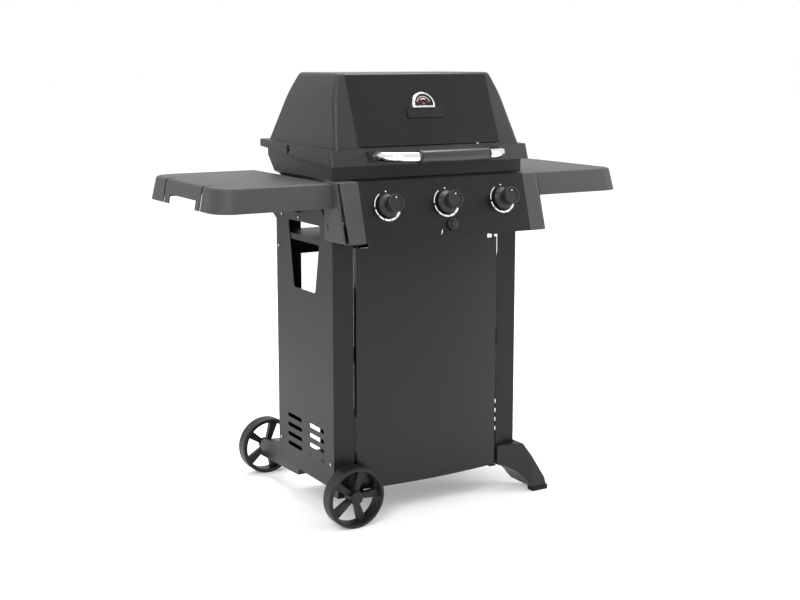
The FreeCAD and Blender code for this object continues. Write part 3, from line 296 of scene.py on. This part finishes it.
def box_at(bm, low, high):
    """Adds a box with the given corners to a bmesh."""
    bmesh.ops.create_cube(bm, size=1, matrix=Matrix.Translation((low + high) / 2)
                          @ Matrix.Diagonal((*(high - low), 1)))


def cut_out(piece, boxes):
    """Applies the piece's modifiers and takes boxes, given by two corners, out of its mesh."""
    bm = bmesh.new()
    for low, high in boxes:
        box_at(bm, Vector(low), Vector(high))
    mesh = bpy.data.meshes.new("cutter")
    bm.to_mesh(mesh)
    bm.free()
    cutter = bpy.data.objects.new("cutter", mesh)
    bpy.context.scene.collection.objects.link(cutter)
    taking = piece.modifiers.new("taking", "BOOLEAN")
    taking.operation = "DIFFERENCE"
    taking.solver = "EXACT"
    taking.object = cutter
    shaped = piece.evaluated_get(bpy.context.evaluated_depsgraph_get())
    whole = bpy.data.meshes.new_from_object(shaped)
    piece.modifiers.clear()
    piece.data = whole
    bpy.data.objects.remove(cutter)


def table(node, side):
    """A hollow moulded table on one side of the cart; side is +1 for the right and -1 for the left."""
    low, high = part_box(node)
    bm = bmesh.new()
    box_at(bm, low, high)
    outer = high.x if side > 0 else low.x
    for vert in bm.verts:
        if vert.co.z > (low.z + high.z) / 2:
            vert.co.y += FLARE if vert.co.y < 0 else -FLARE
            if abs(vert.co.x - outer) < 0.01:
                vert.co.x -= side * FLARE
    corners = [edge for edge in bm.edges if abs((edge.verts[0].co - edge.verts[1].co).z) > 0.02
               and all(abs(v.co.x - outer) < 0.02 for v in edge.verts)]
    bmesh.ops.bevel(bm, geom=corners, offset=TABLE_CORNER, offset_type="OFFSET", segments=14,
                    profile=0.5, affect="EDGES", material=-1)
    inner = low.x if side > 0 else high.x
    rim = [edge for edge in bm.edges if all(v.co.z > high.z - 0.0001 for v in edge.verts)
           and not all(abs(v.co.x - inner) < 0.0001 for v in edge.verts)]
    bmesh.ops.bevel(bm, geom=rim, offset=TABLE_EDGE, offset_type="OFFSET", segments=4,
                    profile=0.5, affect="EDGES", material=-1)
    floor = [face for face in bm.faces if face.normal.z < -0.9 or face.normal.x * side < -0.9]
    bmesh.ops.delete(bm, geom=floor, context="FACES")
    piece = show(bm, node + "_moulding", FINISHES["resin_grey"], "cart")
    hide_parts(node)
    thick = piece.modifiers.new("wall", "SOLIDIFY")
    thick.thickness = WALL
    thick.offset = -1
    slot_left, slot_right = sorted((outer - side * (SLOT_DEPTH + FLARE), outer + side * OUTSIDE))
    boxes = [((slot_left, y - SLOT_HALF, low.z - CLEAR), (slot_right, y + SLOT_HALF, high.z + CLEAR))
             for y in HOOK_SLOTS]
    boxes.append(((outer - OUTSIDE, GRIP_SPAN[0], low.z - CLEAR),
                  (outer + OUTSIDE, GRIP_SPAN[1], high.z - GRIP_BELOW_TOP)))
    cut_out(piece, boxes)
    return smooth(piece)


tables = [table("side_shelf_right", 1), table("side_shelf_left", -1)]
print("tables", [piece.name for piece in tables])

# %% [markdown]
# ## Round fittings
# Dots, collars, the needle's hub and the foot screws are all turned shapes, so one helper makes
# them: a short profile of radius and height is spun a full turn round an axis and then placed.

# %% The lathe helper
def towards(axis, centre):
    """The placement that turns +Z to the given axis and moves the origin to centre."""
    turn = Vector(axis).normalized().to_track_quat("Z", "Y").to_matrix().to_4x4()
    return Matrix.Translation(centre) @ turn


def lathe(name, profile, centre, axis, material, body):
    """A closed turned piece from (radius, height) points that start and end on the axis."""
    bm = bmesh.new()
    verts = [bm.verts.new((radius, 0, height)) for radius, height in profile]
    edges = [bm.edges.new(pair) for pair in zip(verts, verts[1:])]
    bmesh.ops.spin(bm, geom=verts + edges, cent=(0, 0, 0), axis=(0, 0, 1), dvec=(0, 0, 0),
                   angle=math.tau, steps=48, use_merge=True, use_duplicate=False)
    bmesh.ops.remove_doubles(bm, verts=bm.verts, dist=0.000005)
    bmesh.ops.recalc_face_normals(bm, faces=bm.faces)
    bm.transform(towards(axis, centre))
    return smooth(show(bm, name, material, body))


def button(name, radius, height, centre, axis, material, body, sink=0.0):
    """A round-headed fitting: a short disc with a softened rim, its foot sunk below the surface."""
    soft = min(radius, height) * 0.35
    profile = [(0, -sink), (radius, -sink), (radius, height - soft),
               (radius - soft * 0.3, height - soft * 0.3), (radius - soft, height), (0, height)]
    return lathe(name, profile, centre, axis, material, body)


print("lathe ready")

# %% [markdown]
# ## Printed marks round the knobs
# The panel has white printing round each knob: a thin arc for low heat that thickens in steps
# towards high, and a dot for off. Print is a very thin layer, so a strip is spun as a flat arc and
# given a quarter of a millimetre, which is enough to show clear of the panel.

# %% Arcs and dots on the sloping panel
PANEL_NORMAL = Vector((0, -0.958, 0.287)).normalized()
PANEL_UP = Vector((0, 0.287, 0.958)).normalized()
ACROSS = Vector((1, 0, 0))
PRINT = 0.00025


def on_plane(origin, up, normal):
    """The placement of a flat drawing: its X goes across, its Y up the plane, its Z out of it."""
    side = up.cross(normal)
    turn = Matrix((side, up, normal)).transposed().to_4x4()
    return Matrix.Translation(origin) @ turn


def arc(name, place, inner, outer, start, end, material, body, steps=24):
    """A flat arc strip between two radii, from one angle to another, counted from the right."""
    bm = bmesh.new()
    first, last = math.radians(start), math.radians(end)
    verts = [bm.verts.new((r * math.cos(first), r * math.sin(first), h))
             for r, h in ((inner, 0), (outer, 0), (outer, PRINT), (inner, PRINT))]
    face = bm.faces.new(verts)
    bmesh.ops.spin(bm, geom=[face], cent=(0, 0, 0), axis=(0, 0, 1), dvec=(0, 0, 0),
                   angle=last - first, steps=steps, use_merge=False, use_duplicate=False)
    bmesh.ops.remove_doubles(bm, verts=bm.verts, dist=0.000002)
    bmesh.ops.recalc_face_normals(bm, faces=bm.faces)
    bm.transform(place)
    return show(bm, name, material, body)


KNOBS = {"left": -0.166, "middle": 0.0, "right": 0.166}
KNOB_LINE = Vector((0, -0.2674, 0.798))
RING_OUTER = 0.0362
STEPS = 5
STEP_TURN = 29
STEP_SPAN = 26
for label, x in KNOBS.items():
    place = on_plane(KNOB_LINE + ACROSS * x, PANEL_UP, PANEL_NORMAL)
    arc(f"ring_thin_{label}", place, RING_OUTER - 0.002, RING_OUTER, 122, 180, PRINT_WHITE, "cart")
    for part in range(STEPS):
        start = 190 + part * STEP_TURN
        arc(f"ring_step_{label}_{part}", place, RING_OUTER - 0.0025 - 0.0008 * part, RING_OUTER,
            start, start + STEP_SPAN, PRINT_WHITE, "cart", steps=8)
    dot = place @ Vector((0, RING_OUTER - 0.001, 0))
    button(f"off_dot_{label}", 0.0019, PRINT, dot, PANEL_NORMAL, PRINT_WHITE, "cart")
print("printed rings", len(KNOBS))

# %% [markdown]
# ## Pointer dots on the knobs
# A knob has one white dot on its sunk cap, which shows where it is turned to. The dot is part of the
# knob, so it rides on the knob's body.

# %% One dot per knob
CAP_RADIUS = 0.0172
DOT_UP = 0.0125
for label, x in KNOBS.items():
    foot = KNOB_LINE + ACROSS * x
    offsets = [vert.co - foot for vert in frame["nodes"]["knob_" + label].data.vertices]
    level = max(offset.dot(PANEL_NORMAL) for offset in offsets
                if offset.cross(PANEL_NORMAL).length < CAP_RADIUS)
    spot = foot + PANEL_NORMAL * level + PANEL_UP * DOT_UP
    button(f"knob_dot_{label}", 0.0016, 0.0004, spot, PANEL_NORMAL, PRINT_WHITE, "dial_" + label,
           sink=0.0003)
print("knob dots done")

# %% [markdown]
# ## Lid thermometer
# The dial is half a disc behind a chrome frame. White arcs and ticks are printed on its black face,
# and a red needle turns over them. They are flat strips on the plane of the lid's front.

# %% Scale and needle
dial_low, dial_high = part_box("thermometer_dial")
LID_UP = Vector((0, 0.067, 0.167)).normalized()
LID_NORMAL = Vector((0, -LID_UP.z, LID_UP.y))
dial_points = [v.co for v in frame["nodes"]["thermometer_dial"].data.vertices]
dial_level = max(point.dot(LID_NORMAL) for point in dial_points)
dial_foot = min(point.dot(LID_UP) for point in dial_points)
dial_top = max(point.dot(LID_UP) for point in dial_points)
dial_size = dial_top - dial_foot
pivot = LID_NORMAL * (dial_level + 0.00005) + LID_UP * (dial_foot + dial_size * 0.18)
pivot.x = (dial_low.x + dial_high.x) / 2
dial_place = on_plane(pivot, LID_UP, LID_NORMAL)
SCALE = dial_size * 0.66
SCALE_START = 20
TICKS = 15
TICK_TURN = 10
TICK_HALF = 0.9
arc("dial_scale", dial_place, SCALE - 0.0008, SCALE, SCALE_START, 180 - SCALE_START, PRINT_WHITE,
    "lid", steps=32)
for index in range(TICKS):
    angle = SCALE_START + index * TICK_TURN
    length = 0.0026 if index % 2 else 0.0042
    arc(f"dial_tick_{index}", dial_place, SCALE - length, SCALE, angle - TICK_HALF,
        angle + TICK_HALF, PRINT_WHITE, "lid", steps=1)
arc("dial_band", dial_place, SCALE - 0.0078, SCALE - 0.0058, 60, 120, PRINT_WHITE, "lid", steps=16)
needle_place = dial_place @ Matrix.Translation((0, 0, PRINT * 1.5))
arc("dial_needle", needle_place, 0.001, SCALE - 0.001, 131, 134.5, NEEDLE_RED, "lid", steps=2)
button("dial_hub", 0.0026, 0.0012, pivot, LID_NORMAL, NEEDLE_RED, "lid")
print("dial radius", round(SCALE, 4))

# %% [markdown]
# ## Handle collars
# Where the grip meets its plated ends there is a thin dark collar, which hides the joint and keeps
# the heat of the ends away from the hand. It is a ring a little wider than the grip.

# %% Two collars
grip_low, grip_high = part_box("handle_grip")
grip_middle = (grip_low + grip_high) / 2
grip_radius = (grip_high.z - grip_low.z) / 2
for side, name in ((1, "right"), (-1, "left")):
    end = Vector((grip_high.x if side > 0 else grip_low.x, grip_middle.y, grip_middle.z))
    rim = grip_radius + 0.0006
    profile = [(0, -0.004), (grip_radius, -0.004), (rim, -0.0034), (rim, 0.0014),
               (grip_radius, 0.002), (0, 0.002)]
    lathe(f"grip_collar_{name}", profile, end, (side, 0, 0), FINISHES["resin_dark"], "lid")
print("grip radius", round(grip_radius, 4))

# %% [markdown]
# ## Spark mark
# The igniter has a small slanted spark printed beside it. It could be a traced outline, but at a
# centimetre high three thin strips in a zigzag read as a bolt.

# %% The mark beside the igniter
mark_foot = KNOB_LINE - PANEL_UP * 0.072 - ACROSS * 0.026
mark_place = on_plane(mark_foot, PANEL_UP, PANEL_NORMAL)
STROKES = [("upper", (0.0012, 0.0028), 62, 0.0062), ("middle", (0, 0), 150, 0.0040),
           ("lower", (-0.0012, -0.0028), 62, 0.0062)]
for name, shift, turn, length in STROKES:
    bm = bmesh.new()
    bmesh.ops.create_cube(bm, size=1, matrix=mark_place @ Matrix.Translation((*shift, PRINT / 2))
                          @ Matrix.Rotation(math.radians(turn), 4, "Z")
                          @ Matrix.Diagonal((length, 0.0012, PRINT, 1)))
    show(bm, f"spark_{name}", PRINT_WHITE, "cart")
print("spark mark at", tuple(round(part, 3) for part in mark_foot))

# %% [markdown]
# ## Screw recesses on the feet
# Each moulded foot is held by a screw in a round recess on its arch. A hole could be cut, but a
# low near-black disc sunk into the slope paints the recess's shade. A ray from above finds the slope.

# %% Painted shade discs for the recesses
FROM_TOE = 0.030
for node in ("foot_front", "foot_rear"):
    low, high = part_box(node)
    above = Vector((high.x - FROM_TOE, (low.y + high.y) / 2, high.z + 0.1))
    mesh = frame["nodes"][node].data
    surface = BVHTree.FromPolygons([vert.co for vert in mesh.vertices],
                                   [face.vertices for face in mesh.polygons])
    spot, facing, _, _ = surface.ray_cast(above, Vector((0, 0, -1)))
    # Painted shade: a low near-black disc stands in for the shaded screw recess.
    button(node + "_recess_shade", 0.0075, 0.0005, spot, facing, RECESS_SHADE, "cart", sink=0.002)
print("feet done")

# %% [markdown]
# ## Floor, light and camera
# A pale floor and broad soft lights suit a dark product: a large key from the left front, a long
# strip overhead for the lid's highlight, and a fill from the right. The camera stands at eye height
# for a catalogue view and looks down a little, and a small shift keeps the uprights nearly parallel.

# %% Stage
MIDDLE = Vector((0, 0, 0.6))


def panel_light(name, place, width, height, power):
    """A soft rectangular light that faces the middle of the object."""
    lamp = bpy.data.lights.new(name, "AREA")
    lamp.shape = "RECTANGLE"
    lamp.size = width
    lamp.size_y = height
    lamp.energy = power
    thing = bpy.data.objects.new(name, lamp)
    bpy.context.scene.collection.objects.link(thing)
    thing.location = place
    thing.rotation_euler = (MIDDLE - Vector(place)).to_track_quat("-Z", "Y").to_euler()
    return thing


bm = bmesh.new()
bmesh.ops.create_grid(bm, x_segments=1, y_segments=1, size=30)
floor_mesh = bpy.data.meshes.new("floor")
bm.to_mesh(floor_mesh)
bm.free()
floor = bpy.data.objects.new("floor", floor_mesh)
bpy.context.scene.collection.objects.link(floor)
floor_finish = finish("floor_white", 0.86, 0.75, cloud=0.01)
floor_glow = floor_finish.node_tree.nodes["Principled BSDF"].inputs
floor_glow["Emission Color"].default_value = shade(1.0)
floor_glow["Emission Strength"].default_value = 0.22
floor_mesh.materials.append(floor_finish)

lights = [panel_light("key", (-2.6, -2.6, 3.2), 1.6, 1.6, 90),
          panel_light("overhead", (0.2, 0.6, 3.4), 3.0, 1.2, 110),
          panel_light("fill", (3.2, -1.8, 1.8), 1.2, 2.0, 40)]
world = bpy.data.worlds.new("studio")
bpy.context.scene.world = world
world.use_nodes = True
world.node_tree.nodes["Background"].inputs["Color"].default_value = shade(1.0)
world.node_tree.nodes["Background"].inputs["Strength"].default_value = 1.0

lens = bpy.data.cameras.new("camera")
lens.lens = 58.0
lens.sensor_width = 36
lens.shift_y = -0.06
camera = bpy.data.objects.new("camera", lens)
bpy.context.scene.collection.objects.link(camera)
camera.location = (-1.6968, -2.8916, 1.1419)
camera.rotation_euler = (math.radians(81.5), 0, math.radians(-30.8))
bpy.context.scene.camera = camera
bpy.context.scene.view_settings.view_transform = "Standard"
print("stage with", len(lights), "lights")
